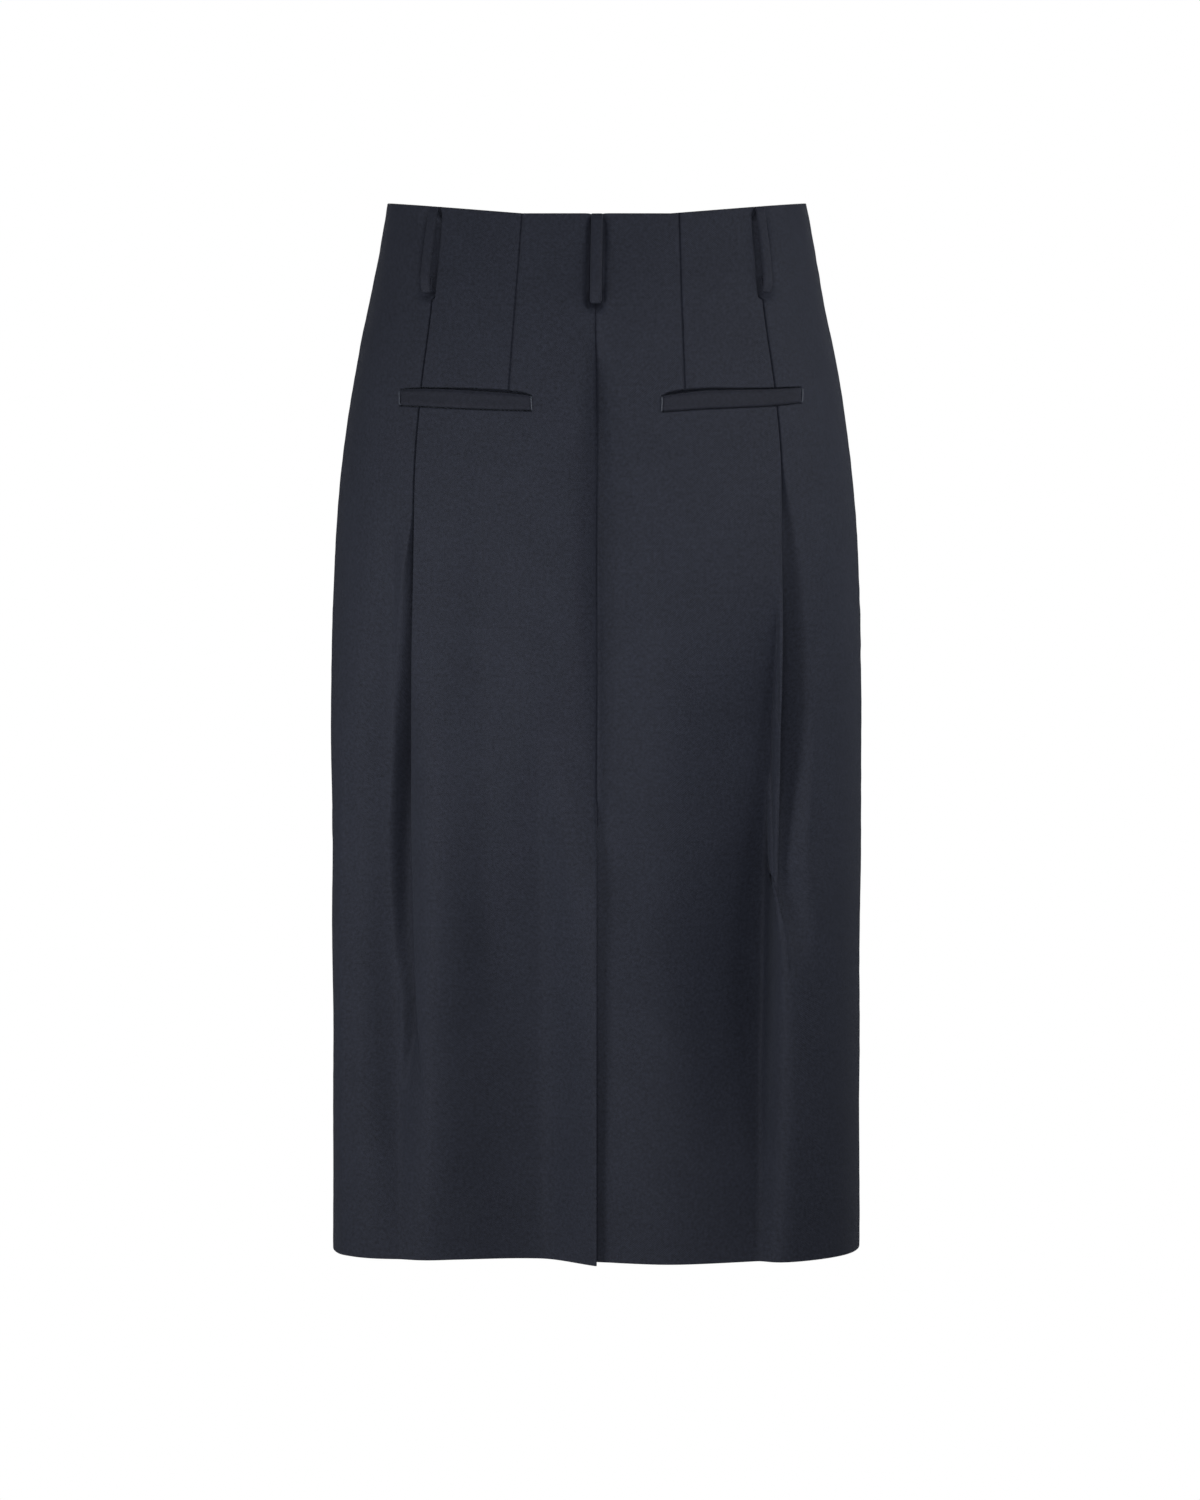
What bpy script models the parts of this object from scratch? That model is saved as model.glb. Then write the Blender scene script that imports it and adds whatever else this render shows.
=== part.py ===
"""Tulip skirt, high-waisted and knee-length, in wool twill, hollow and filled out as it is worn.

Metres, +Z up. The origin is the middle of the waist opening, level with the waist edge at the side
seams, where the wearer's waist holds the skirt. The back faces -Y, and +X is the wearer's right.

Each half of the back is one panel from the centre back to the side seam. A tuck folded under it is
sewn down from the waist to just below the pocket, opens below that as a knife pleat, and dies away
above the hem. The centre back ends in a walking vent, left over right. The front is one panel.
"""

import math
from collections import namedtuple

import bmesh
import bpy
import numpy as np

# Cloth and seams.
CLOTH = 0.0011
SEAM_GAP = 0.0003
FOLD_RADIUS = 0.00075
HEM = -0.718

# The waist edge slopes down from the side seams to the darts, and runs level between them.
BACK_DIP = 0.0076
FRONT_DIP = 0.0115
DART_AT = 0.35
DIP_REACH = 0.06

# The walking vent in the centre back.
VENT_TOP = -0.42
VENT_LAP = 0.038
VENT_STEP = 0.0034
VENT_BLEND = 0.016
LEFT_HEM_DROP = 0.002

# Belt loops: a strip of doubled cloth, sewn down at both ends, with room behind it for a belt.
LOOP_WIDTH = 0.009
LOOP_CLOTH = 0.0020
LOOP_ROOM = 0.0058

# Pocket welts: a doubled strip that closes the pocket's mouth.
WELT_HEIGHT = 0.0100
WELT_CLOTH = 0.0015

# Heights of the rows of cloth: close together over the hips, wider apart below.
UPPER_ROWS = np.arange(0, -0.181, -0.02)
MIDDLE_ROWS = np.arange(-0.21, VENT_TOP - 0.001, -0.03)
LOWER_ROWS = np.linspace(VENT_TOP, HEM, 10)[1:]
ROWS = np.concatenate([UPPER_ROWS, MIDDLE_ROWS, LOWER_ROWS])

# The filled-out skirt, measured over its cloth: half its width, how far the back and the front stand
# from the side seams, and how square its left and right halves are, where 2 is an ellipse.
Level = namedtuple("Level", "height half_width back front square_left square_right")
LEVELS = [
    Level(0.000, 0.1437, 0.098, 0.095, 2.15, 2.15),
    Level(-0.033, 0.1494, 0.107, 0.102, 2.20, 2.20),
    Level(-0.066, 0.1556, 0.116, 0.108, 2.25, 2.25),
    Level(-0.100, 0.1628, 0.124, 0.113, 2.30, 2.30),
    Level(-0.135, 0.1690, 0.130, 0.116, 2.35, 2.35),
    Level(-0.170, 0.1742, 0.134, 0.118, 2.40, 2.40),
    Level(-0.205, 0.1778, 0.136, 0.118, 2.45, 2.45),
    Level(-0.272, 0.1815, 0.134, 0.116, 2.60, 2.50),
    Level(-0.342, 0.1825, 0.129, 0.114, 2.75, 2.55),
    Level(-0.480, 0.1822, 0.122, 0.112, 3.00, 2.65),
    Level(-0.652, 0.1820, 0.118, 0.112, 3.20, 2.70),
    Level(HEM, 0.1819, 0.117, 0.112, 3.20, 2.70),
]

# The pleat of each back panel: where its folded edge stands from the centre line seen from behind,
# how deep the cloth is tucked under it, how much of a half turn the fold still makes, over what width
# the side of the panel comes back to the surface, and how far it sinks under the folded edge.
Pleat = namedtuple("Pleat", "height edge tuck turn flare sink")
PLEAT_LEFT = [
    Pleat(0.000, 0.1075, 0.012, 1.00, 0.003, 0.0000),
    Pleat(-0.066, 0.1102, 0.012, 1.00, 0.003, 0.0000),
    Pleat(-0.125, 0.1172, 0.012, 1.00, 0.003, 0.0000),
    Pleat(-0.175, 0.1217, 0.012, 1.00, 0.003, 0.0000),
    Pleat(-0.240, 0.1240, 0.012, 1.00, 0.007, 0.0040),
    Pleat(-0.300, 0.1257, 0.010, 1.00, 0.012, 0.0110),
    Pleat(-0.380, 0.1264, 0.008, 1.00, 0.017, 0.0165),
    Pleat(-0.440, 0.1260, 0.005, 0.95, 0.018, 0.0145),
    Pleat(-0.500, 0.1250, 0.003, 0.75, 0.020, 0.0095),
    Pleat(-0.560, 0.1240, 0.001, 0.35, 0.022, 0.0036),
    Pleat(-0.610, 0.1235, 0.001, 0.00, 0.028, 0.0000),
    Pleat(HEM, 0.1230, 0.001, 0.00, 0.030, 0.0000),
]
PLEAT_RIGHT = [
    Pleat(0.000, 0.1085, 0.012, 1.00, 0.003, 0.0000),
    Pleat(-0.066, 0.1114, 0.012, 1.00, 0.003, 0.0000),
    Pleat(-0.125, 0.1195, 0.012, 1.00, 0.003, 0.0000),
    Pleat(-0.175, 0.1250, 0.012, 1.00, 0.003, 0.0000),
    Pleat(-0.230, 0.1260, 0.012, 1.00, 0.010, 0.0030),
    Pleat(-0.300, 0.1264, 0.010, 1.00, 0.024, 0.0120),
    Pleat(-0.370, 0.1258, 0.007, 1.00, 0.026, 0.0125),
    Pleat(-0.440, 0.1246, 0.003, 0.75, 0.026, 0.0060),
    Pleat(-0.510, 0.1235, 0.001, 0.00, 0.028, 0.0000),
    Pleat(HEM, 0.1230, 0.001, 0.00, 0.030, 0.0000),
]

# Soft folds of the filled-out cloth, as shallow troughs between two points of the panel, with how far
# they spread towards the left and the right. x is measured as in the whole. A negative depth is a ridge.
# They die away close to the side seams.
SIDE_FLAT = 0.014
Fold = namedtuple("Fold", "x_top top x_bottom bottom to_left to_right depth crisp")
BACK_FOLDS = [
    Fold(0.1165, -0.20, 0.1160, -0.68, 0.066, 0.0070, 0.0300, 1.6),
    Fold(0.1130, -0.40, 0.1110, -0.94, 0.056, 0.0130, 0.0200, 1.6),
    Fold(0.050, -0.18, 0.044, -0.84, 0.026, 0.026, -0.0030, 2.0),
    Fold(-0.034, -0.36, -0.032, -1.04, 0.080, 0.032, 0.0360, 1.8),
    Fold(-0.078, -0.11, -0.076, -0.62, 0.026, 0.020, 0.0090, 1.8),
    Fold(-0.138, -0.20, -0.136, -0.74, 0.028, 0.014, 0.0170, 1.7),
]
FRONT_FOLDS = [
    Fold(-0.070, -0.20, -0.086, -0.74, 0.032, 0.040, 0.0045, 1.6),
    Fold(0.082, -0.28, 0.070, -0.76, 0.036, 0.030, 0.0050, 1.6),
    Fold(0.000, -0.38, 0.006, -0.76, 0.030, 0.030, -0.0025, 2.0),
]

# The pocket welts, from the end near the centre back to the end near the side seam.
Welt = namedtuple("Welt", "name side inner outer inner_top outer_top")
WELTS = [
    Welt("pocket_welt_left", -1, 0.0436, 0.1320, -0.1295, -0.1263),
    Welt("pocket_welt_right", 1, 0.0440, 0.1383, -0.1302, -0.1253),
]

# The belt loops: where the middle of each strip lies, from the centre line, at the waist edge and at
# its lower end.
Loop = namedtuple("Loop", "name face side at_waist at_end length")
LOOPS = [
    Loop("belt_loop_centre_back", "back", 1, 0.0004, -0.0005, 0.0672),
    Loop("belt_loop_back_left", "back", -1, 0.1086, 0.1128, 0.0600),
    Loop("belt_loop_back_right", "back", 1, 0.1112, 0.1150, 0.0600),
    Loop("belt_loop_front_left", "front", -1, 0.0770, 0.0790, 0.0600),
    Loop("belt_loop_front_right", "front", 1, 0.0770, 0.0790, 0.0600),
]

# How far down a strip, and how much of the belt's room is behind it there.
LOOP_STAND = [(0, 0), (0.06, 0.08), (0.14, 0.45), (0.26, 0.84), (0.45, 1)]
LOOP_STAND += [(0.70, 1), (0.84, 0.88), (0.93, 0.42), (1, 0)]


def at_height(table, column, height):
    """A column of a table at any height, on a smooth curve through its rows."""
    heights = np.array([row.height for row in reversed(table)])
    values = np.array([getattr(row, column) for row in reversed(table)])
    slopes = np.gradient(values, heights)
    height = min(max(height, heights[0]), heights[-1])
    low = min(max(int(np.searchsorted(heights, height)) - 1, 0), len(heights) - 2)
    step = heights[low + 1] - heights[low]
    t = (height - heights[low]) / step
    start = values[low] * (1 + 2 * t) * (1 - t) ** 2 + step * slopes[low] * t * (1 - t) ** 2
    end = values[low + 1] * t * t * (3 - 2 * t) - step * slopes[low + 1] * t * t * (1 - t)
    return start + end


def quarter(height, face, side):
    """The middle of the cloth at a height, from the centre back or front to a side seam."""
    half_width = at_height(LEVELS, "half_width", height) - CLOTH / 2
    depth = at_height(LEVELS, face, height) - CLOTH / 2
    power = 2 / at_height(LEVELS, "square_left" if side < 0 else "square_right", height)
    angle = np.linspace(0, math.pi / 2, 241)
    x = half_width * np.sin(angle) ** power
    y = depth * np.cos(angle).clip(0) ** power
    y = -y if face == "back" else y
    along = np.concatenate([[0], np.cumsum(np.hypot(np.diff(x), np.diff(y)))])
    return x, y, along


def along_at(height, face, side, x):
    """How far along the outline a distance from the centre line lies."""
    outline_x, _, along = quarter(height, face, side)
    return float(np.interp(x, outline_x, along))


def eased(t):
    t = min(max(t, 0), 1)
    return t * t * (3 - 2 * t)


def soft_fold(folds, x, height):
    """How far the soft folds move the cloth in, at a distance from the centre line and a height."""
    moved = 0
    for fold in folds:
        t = (fold.top - height) / (fold.top - fold.bottom)
        if 0 < t < 1:
            middle = fold.x_top + (fold.x_bottom - fold.x_top) * t
            spread = fold.to_left if x < middle else fold.to_right
            spread *= 0.3 + 0.7 * eased(2.4 * t)
            across = math.exp(-(abs((x - middle) / spread) ** fold.crisp))
            moved += fold.depth * across * math.sin(math.pi * t) ** 1.3
    return moved


def cloth_point(height, face, side, along, lift):
    """A point of the cloth: so far along the outline from the centre line, and so far out of it."""
    outline_x, outline_y, length = quarter(height, face, side)
    probe = 0.0005

    def on_outline(distance):
        x = math.copysign(np.interp(abs(distance), length, outline_x), distance)
        return np.array([x, np.interp(abs(distance), length, outline_y)])

    here = on_outline(along)
    ahead = on_outline(min(along + probe, length[-1])) - on_outline(along - probe)
    ahead /= np.linalg.norm(ahead)
    outward = np.array([ahead[1], -ahead[0]]) if face == "back" else np.array([-ahead[1], ahead[0]])
    folds = BACK_FOLDS if face == "back" else FRONT_FOLDS
    sunk = soft_fold(folds, here[0] * side, height)
    sunk *= eased((outline_x[-1] - abs(here[0])) / SIDE_FLAT)
    here = here + outward * lift + np.array([0, sunk if face == "back" else -sunk])
    dip = BACK_DIP if face == "back" else FRONT_DIP
    slope = min((1 - abs(here[0]) / outline_x[-1]) / (1 - DART_AT), 1)
    z = height - dip * slope * max(1 + height / DIP_REACH, 0)
    return here[0] * side, here[1], z


def pleat_path(height, side):
    """The tuck of a back panel, from its folded edge to where the side of the panel is flat again.

    Each point is a distance along the outline and a distance out of it.
    """
    table = PLEAT_LEFT if side < 0 else PLEAT_RIGHT
    edge = along_at(height, "back", side, at_height(table, "edge", height))
    tuck = at_height(table, "tuck", height)
    turn = math.pi * min(max(at_height(table, "turn", height), 0.0), 1.0)
    flare = max(at_height(table, "flare", height), 0.003)
    sink = max(at_height(table, "sink", height), 0.0)
    # A fold that is opening bends round longer arcs, until it lies flat.
    arc_step = FOLD_RADIUS * (0.765 + 0.9 * (1 - turn / math.pi))
    headings = [turn * t for t in (0.125, 0.375, 0.625, 0.875)]
    steps = [(heading, arc_step) for heading in headings]
    steps += [(turn, tuck)]
    steps += [(heading, arc_step) for heading in reversed(headings)]
    path = [(edge - FOLD_RADIUS, 0.0)]
    for heading, length in steps:
        along, lift = path[-1]
        path.append((along + length * math.cos(heading), lift - length * math.sin(heading)))
    deepest = path[-1][1] - sink
    level = max(edge, path[-1][0] + 0.001)
    rise = [(level + flare * t, deepest * (1 - eased(t))) for t in (0, 0.25, 0.5, 0.75, 1)]
    return path + rise


def back_row(height, side):
    """One row of a back panel, from the centre back to the side seam."""
    pleat = pleat_path(height, side)
    side_seam = quarter(height, "back", side)[2][-1] - SEAM_GAP / 2
    in_vent = max(min((VENT_TOP + 0.025 - height) / 0.025, 1), 0)
    step = VENT_STEP * eased(in_vent) if side > 0 else 0
    row = []
    for along in np.linspace(SEAM_GAP / 2, pleat[0][0], 9)[:-1]:
        lift = -step * eased(max(1 - along / VENT_BLEND, 0))
        row.append((along, lift))
    row += pleat
    row += [(along, 0) for along in np.linspace(pleat[-1][0], side_seam, 7)[1:]]
    if side > 0:
        lap = np.linspace(-VENT_LAP, 0, 4)[:-1]
        row = [(along, -VENT_STEP) for along in lap] + row
    return [cloth_point(height, "back", side, along, lift) for along, lift in row]


def front_row(height):
    """One row of the front panel, from the left side seam to the right one."""
    row = []
    for side in (-1, 1):
        side_seam = quarter(height, "front", side)[2][-1] - SEAM_GAP / 2
        half = np.linspace(0, side_seam, 11)
        half = half[:0:-1] if side < 0 else half
        row += [cloth_point(height, "front", side, along, 0) for along in half]
    return row


def unit(vectors):
    return vectors / np.linalg.norm(vectors, axis=-1, keepdims=True)


def directions(grid):
    """At each point of a grid, the mean direction of the two steps through it along the first axis."""
    steps = unit(np.diff(grid, axis=0))
    before = np.concatenate([steps[:1], steps])
    after = np.concatenate([steps, steps[-1:]])
    return (before + after) / 2


def wall(name, grid, thickness, colour, present=None):
    """A closed wall round a grid of points, which run along its middle."""
    grid = np.array(grid, float)
    down = unit(directions(grid))
    across = directions(grid.transpose(1, 0, 2)).transpose(1, 0, 2)
    corner = np.linalg.norm(across, axis=-1, keepdims=True)
    half = unit(np.cross(across, down)) * thickness / 2 / corner
    rows, columns = grid.shape[:2]
    if present is None:
        present = np.ones((rows - 1, columns - 1), bool)
    mesh = bmesh.new()
    faces = [{}, {}]

    def corner_at(face, row, column):
        found = faces[face].get((row, column))
        if found is None:
            where = grid[row, column] + half[row, column] * (1 - 2 * face)
            found = faces[face][row, column] = mesh.verts.new(where)
        return found

    def is_there(row, column):
        return 0 <= row < rows - 1 and 0 <= column < columns - 1 and present[row, column]

    for row in range(rows - 1):
        for column in range(columns - 1):
            if not present[row, column]:
                continue
            ring = [(row, column), (row + 1, column), (row + 1, column + 1), (row, column + 1)]
            mesh.faces.new([corner_at(0, *point) for point in ring])
            mesh.faces.new([corner_at(1, *point) for point in reversed(ring)])
            beside = [(row, column - 1), (row + 1, column), (row, column + 1), (row - 1, column)]
            for point, neighbour, following in zip(ring, beside, ring[1:] + ring[:1]):
                if not is_there(*neighbour):
                    edge = [corner_at(0, *point), corner_at(1, *point)]
                    edge += [corner_at(1, *following), corner_at(0, *following)]
                    mesh.faces.new(edge)
    bmesh.ops.recalc_face_normals(mesh, faces=mesh.faces[:])
    data = bpy.data.meshes.new(name)
    mesh.to_mesh(data)
    mesh.free()
    data.shade_smooth()
    data.set_sharp_from_angle(angle=math.radians(50))
    piece = bpy.data.objects.new(name, data)
    bpy.context.scene.collection.objects.link(piece)
    data.materials.append(colour)
    return piece


def cloth_material(name, colour, roughness):
    material = bpy.data.materials.new(name)
    material.use_nodes = True
    shader = material.node_tree.nodes["Principled BSDF"]
    shader.inputs["Base Color"].default_value = (*colour, 1)
    shader.inputs["Roughness"].default_value = roughness
    shader.inputs["Metallic"].default_value = 0
    return material


def back_panel(name, side, colour):
    """Half of the back; the right one has the vent's underlap, which starts at the vent's top."""
    rows = [back_row(height, side) for height in ROWS]
    grid = np.array(rows)
    present = np.ones((grid.shape[0] - 1, grid.shape[1] - 1), bool)
    if side > 0:
        present[: int(np.argmin(abs(ROWS - VENT_TOP))), :3] = False
    else:
        near = (1 + grid[-1, :, 0] / 0.10).clip(0, 1)
        grid[-1, :, 2] -= LEFT_HEM_DROP * near
    wall(name, grid, CLOTH, colour, present)


def belt_loop(loop, colour):
    """A strip that stands off the cloth between its two sewn ends."""
    on_cloth = CLOTH / 2 + SEAM_GAP + LOOP_CLOTH / 2
    grid = []
    for down, room in LOOP_STAND:
        height = -0.0008 - loop.length * down
        x = loop.at_waist + (loop.at_end - loop.at_waist) * down
        middle = math.copysign(along_at(height, loop.face, loop.side, abs(x)), x)
        lift = on_cloth + LOOP_ROOM * room
        edges = (middle - LOOP_WIDTH / 2, middle, middle + LOOP_WIDTH / 2)
        grid.append([cloth_point(height, loop.face, loop.side, edge, lift) for edge in edges])
    wall(loop.name, grid, LOOP_CLOTH, colour)


def pocket_welt(welt, colour):
    """A doubled strip across the pleat, a little higher towards the side seam."""
    lift = CLOTH / 2 + SEAM_GAP + WELT_CLOTH / 2
    grid = []
    for drop in (0, 0.5, 1):
        row = []
        for t in np.linspace(0, 1, 15):
            height = welt.inner_top + (welt.outer_top - welt.inner_top) * t - WELT_HEIGHT * drop
            x = welt.inner + (welt.outer - welt.inner) * t
            along = along_at(height, "back", welt.side, x)
            row.append(cloth_point(height, "back", welt.side, along, lift))
        grid.append(row)
    wall(welt.name, grid, WELT_CLOTH, colour)


for thing in list(bpy.data.objects):
    bpy.data.objects.remove(thing, do_unlink=True)

twill = cloth_material("wool_twill", (0.027, 0.029, 0.038), 0.82)
trim_twill = cloth_material("wool_twill_doubled", (0.025, 0.027, 0.036), 0.8)

back_panel("back_left", -1, twill)
back_panel("back_right", 1, twill)
wall("front", [front_row(height) for height in ROWS], CLOTH, twill)

for welt in WELTS:
    pocket_welt(welt, trim_twill)

for loop in LOOPS:
    belt_loop(loop, trim_twill)
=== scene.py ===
import math
from collections import namedtuple

import bpy
import numpy as np
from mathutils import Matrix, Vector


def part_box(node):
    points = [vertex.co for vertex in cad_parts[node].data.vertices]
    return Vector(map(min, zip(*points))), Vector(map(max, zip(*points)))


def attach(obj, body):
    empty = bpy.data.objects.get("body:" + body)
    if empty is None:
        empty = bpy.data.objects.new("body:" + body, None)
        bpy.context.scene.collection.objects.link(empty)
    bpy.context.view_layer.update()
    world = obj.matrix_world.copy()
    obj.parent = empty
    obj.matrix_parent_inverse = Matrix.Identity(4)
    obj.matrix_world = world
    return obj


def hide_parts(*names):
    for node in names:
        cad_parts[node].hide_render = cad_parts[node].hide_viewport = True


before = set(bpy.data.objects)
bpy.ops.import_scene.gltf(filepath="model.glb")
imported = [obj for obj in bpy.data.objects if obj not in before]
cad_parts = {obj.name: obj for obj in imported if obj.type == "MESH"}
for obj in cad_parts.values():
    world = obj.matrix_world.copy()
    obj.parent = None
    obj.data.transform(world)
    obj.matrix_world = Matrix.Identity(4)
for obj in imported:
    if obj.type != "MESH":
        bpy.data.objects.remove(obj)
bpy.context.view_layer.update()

# A high-waisted, knee-length tulip skirt of dark wool twill, hollow and filled out as it is worn.
# Metres, +Z up. The origin is the middle of the waist opening, the back faces -Y, and +X is the
# wearer's right. The sections follow the order in which the skirt is put together.


# ---- The two back panels -------------------------------------------------------------------------
# Each half of the back is one panel of wool twill, shaped by a dart above its pocket. Further out a
# tuck is sewn down to below the pocket, where it opens as a knife pleat that dies away above the
# hem. The centre back seam ends in a walking vent, left over right.

CLOTH = 0.0011
SEAM_GAP = 0.0003
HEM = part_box("front")[0][2]

# The waist edge dips between the side seams: down as far as the darts, at this share of the half
# width, and level from one dart to the other. The dip dies away over a short way down.
BACK_DIP = 0.0076
FRONT_DIP = 0.0115
DART_AT = 0.35
DIP_REACH = 0.06

# The filled-out skirt, measured over its cloth: half its width, how far the back and the front
# stand from the side seams, and how square its left and right halves are, where 2 is an ellipse.
Level = namedtuple("Level", "height half_width back front square_left square_right")
LEVELS = [
    Level(0.000, 0.1437, 0.098, 0.095, 2.15, 2.15),
    Level(-0.033, 0.1494, 0.107, 0.102, 2.20, 2.20),
    Level(-0.066, 0.1556, 0.116, 0.108, 2.25, 2.25),
    Level(-0.100, 0.1628, 0.124, 0.113, 2.30, 2.30),
    Level(-0.135, 0.1690, 0.130, 0.116, 2.35, 2.35),
    Level(-0.170, 0.1742, 0.134, 0.118, 2.40, 2.40),
    Level(-0.205, 0.1778, 0.136, 0.118, 2.45, 2.45),
    Level(-0.272, 0.1815, 0.134, 0.116, 2.60, 2.50),
    Level(-0.342, 0.1825, 0.129, 0.114, 2.75, 2.55),
    Level(-0.480, 0.1822, 0.122, 0.112, 3.00, 2.65),
    Level(-0.652, 0.1820, 0.118, 0.112, 3.20, 2.70),
    Level(HEM, 0.1819, 0.117, 0.112, 3.20, 2.70),
]

# The pleat of each back panel: how far its folded edge stands from the centre line, how deep the
# cloth is tucked under it, how much of a half turn the fold still makes, over what width the side
# of the panel comes back to the surface, and how far it sinks under the folded edge.
Pleat = namedtuple("Pleat", "height edge tuck turn flare sink")
CLOSED_FLARE = 0.0006
PLEAT_LEFT = [
    Pleat(0.000, 0.1075, 0.012, 1.00, CLOSED_FLARE, 0.0000),
    Pleat(-0.066, 0.1102, 0.012, 1.00, CLOSED_FLARE, 0.0000),
    Pleat(-0.125, 0.1172, 0.012, 1.00, CLOSED_FLARE, 0.0000),
    Pleat(-0.175, 0.1212, 0.012, 1.00, CLOSED_FLARE, 0.0000),
    Pleat(-0.213, 0.1224, 0.012, 1.00, 0.0012, 0.0004),
    Pleat(-0.250, 0.1234, 0.012, 1.00, 0.0080, 0.0060),
    Pleat(-0.300, 0.1245, 0.010, 1.00, 0.0110, 0.0130),
    Pleat(-0.370, 0.1250, 0.008, 1.00, 0.0140, 0.0160),
    Pleat(-0.440, 0.1248, 0.005, 0.97, 0.0170, 0.0110),
    Pleat(-0.500, 0.1236, 0.003, 0.86, 0.0145, 0.0078),
    Pleat(-0.560, 0.1204, 0.001, 0.58, 0.0110, 0.0064),
    Pleat(-0.606, 0.1155, 0.001, 0.00, 0.0080, 0.0008),
    Pleat(HEM, 0.1155, 0.001, 0.00, 0.0060, 0.0000),
]
PLEAT_RIGHT = [
    Pleat(0.000, 0.1085, 0.012, 1.00, CLOSED_FLARE, 0.0000),
    Pleat(-0.066, 0.1114, 0.012, 1.00, CLOSED_FLARE, 0.0000),
    Pleat(-0.125, 0.1195, 0.012, 1.00, CLOSED_FLARE, 0.0000),
    Pleat(-0.175, 0.1240, 0.012, 1.00, CLOSED_FLARE, 0.0000),
    Pleat(-0.230, 0.1248, 0.012, 1.00, 0.0120, 0.0040),
    Pleat(-0.300, 0.1252, 0.010, 1.00, 0.0210, 0.0140),
    Pleat(-0.370, 0.1244, 0.007, 1.00, 0.0250, 0.0180),
    Pleat(-0.440, 0.1226, 0.003, 0.75, 0.0230, 0.0100),
    Pleat(-0.510, 0.1208, 0.001, 0.00, 0.0240, 0.0014),
    Pleat(HEM, 0.1206, 0.001, 0.00, 0.0200, 0.0000),
]

# The dart of each panel: how far its line lies from the centre back. It ends at the pocket's mouth.
Dart = namedtuple("Dart", "height left right")
DARTS = [
    Dart(0.000, 0.0500, 0.0556),
    Dart(-0.065, 0.0545, 0.0572),
    Dart(-0.130, 0.0590, 0.0596),
    Dart(HEM, 0.0590, 0.0596),
]

# The pocket's mouth: the top and bottom edges of its welt at distances from the centre back, and
# how far the cloth above gapes from the welt.
Mouth = namedtuple("Mouth", "x top bottom gape")
MOUTH_LEFT = [
    Mouth(0.0436, -0.1298, -0.1388, 0.0012),
    Mouth(0.0600, -0.1281, -0.1385, 0.0015),
    Mouth(0.0800, -0.1268, -0.1379, 0.0013),
    Mouth(0.1040, -0.1257, -0.1371, 0.0006),
    Mouth(0.1160, -0.1255, -0.1366, 0.0004),
    Mouth(0.1320, -0.1262, -0.1360, 0.0004),
]
MOUTH_RIGHT = [
    Mouth(0.0440, -0.1302, -0.1395, 0.0012),
    Mouth(0.0570, -0.1282, -0.1388, 0.0016),
    Mouth(0.0700, -0.1268, -0.1380, 0.0014),
    Mouth(0.0970, -0.1262, -0.1369, 0.0007),
    Mouth(0.1215, -0.1258, -0.1359, 0.0004),
    Mouth(0.1383, -0.1253, -0.1343, 0.0004),
]

# Soft folds of the filled-out cloth, as shallow troughs between two points of the panel: how far
# they spread to the left and the right, how deep they are, and how full, where 2 is a bell. A
# negative depth is a ridge. x is 0 at the centre line and grows to the wearer's right.
Fold = namedtuple("Fold", "x_top top x_bottom bottom to_left to_right depth full")
BACK_FOLDS = [
    Fold(0.1222, -0.25, 0.1150, -0.66, 0.076, 0.0042, 0.0290, 1.7),
    Fold(0.1150, -0.38, 0.1090, -0.80, 0.066, 0.0100, 0.0290, 1.6),
    Fold(0.050, -0.18, 0.044, -0.84, 0.026, 0.026, -0.0030, 2.0),
    Fold(-0.041, -0.34, -0.039, -1.00, 0.078, 0.036, 0.0500, 2.0),
    Fold(-0.078, -0.11, -0.076, -0.62, 0.026, 0.020, 0.0090, 1.8),
    Fold(-0.137, -0.20, -0.135, -0.78, 0.036, 0.014, 0.0390, 1.7),
]
# A fold starts at a share of its spread, and opens to the whole of it this many times as fast as it
# runs down. It fades out at both ends, and dies away close to a side seam.
FOLD_START = 0.30
FOLD_OPENS = 2.4
FOLD_FADE = 1.3
SIDE_FLAT = 0.014

# The walking vent in the centre back: its top, how far the right panel laps under the left one and
# how far it steps in, from how far above the vent and over what width. The left panel hangs a
# little lower at the hem, most at the vent.
VENT_TOP = -0.42
VENT_LAP = 0.038
VENT_STEP = 0.0034
VENT_EASE = 0.025
VENT_BLEND = 0.016
LEFT_HEM_DROP = 0.002
HEM_DROP_REACH = 0.10

# The centre back seam draws the cloth in, lowest just right of the seam: how deep, how far right of
# the centre, and how far to each side. Below the vent's top it soon fades out on the left panel.
Hollow = namedtuple("Hollow", "height depth middle to_left to_right")
SEAM_HOLLOW = [
    Hollow(0.000, 0.0000, 0.0010, 0.0060, 0.0070),
    Hollow(-0.085, 0.0010, 0.0010, 0.0060, 0.0070),
    Hollow(-0.115, 0.0085, 0.0014, 0.0072, 0.0090),
    Hollow(-0.145, 0.0112, 0.0016, 0.0090, 0.0125),
    Hollow(-0.170, 0.0122, 0.0026, 0.0108, 0.0155),
    Hollow(-0.220, 0.0128, 0.0058, 0.0130, 0.0180),
    Hollow(-0.280, 0.0125, 0.0080, 0.0145, 0.0200),
    Hollow(-0.340, 0.0095, 0.0095, 0.0145, 0.0220),
    Hollow(-0.410, 0.0040, 0.0100, 0.0135, 0.0240),
    Hollow(-0.480, 0.0056, 0.0120, 0.0130, 0.0280),
    Hollow(-0.550, 0.0076, 0.0130, 0.0130, 0.0320),
    Hollow(-0.620, 0.0090, 0.0135, 0.0130, 0.0340),
    Hollow(HEM, 0.0095, 0.0140, 0.0130, 0.0340),
]
HOLLOW_FADE = 0.04

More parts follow.
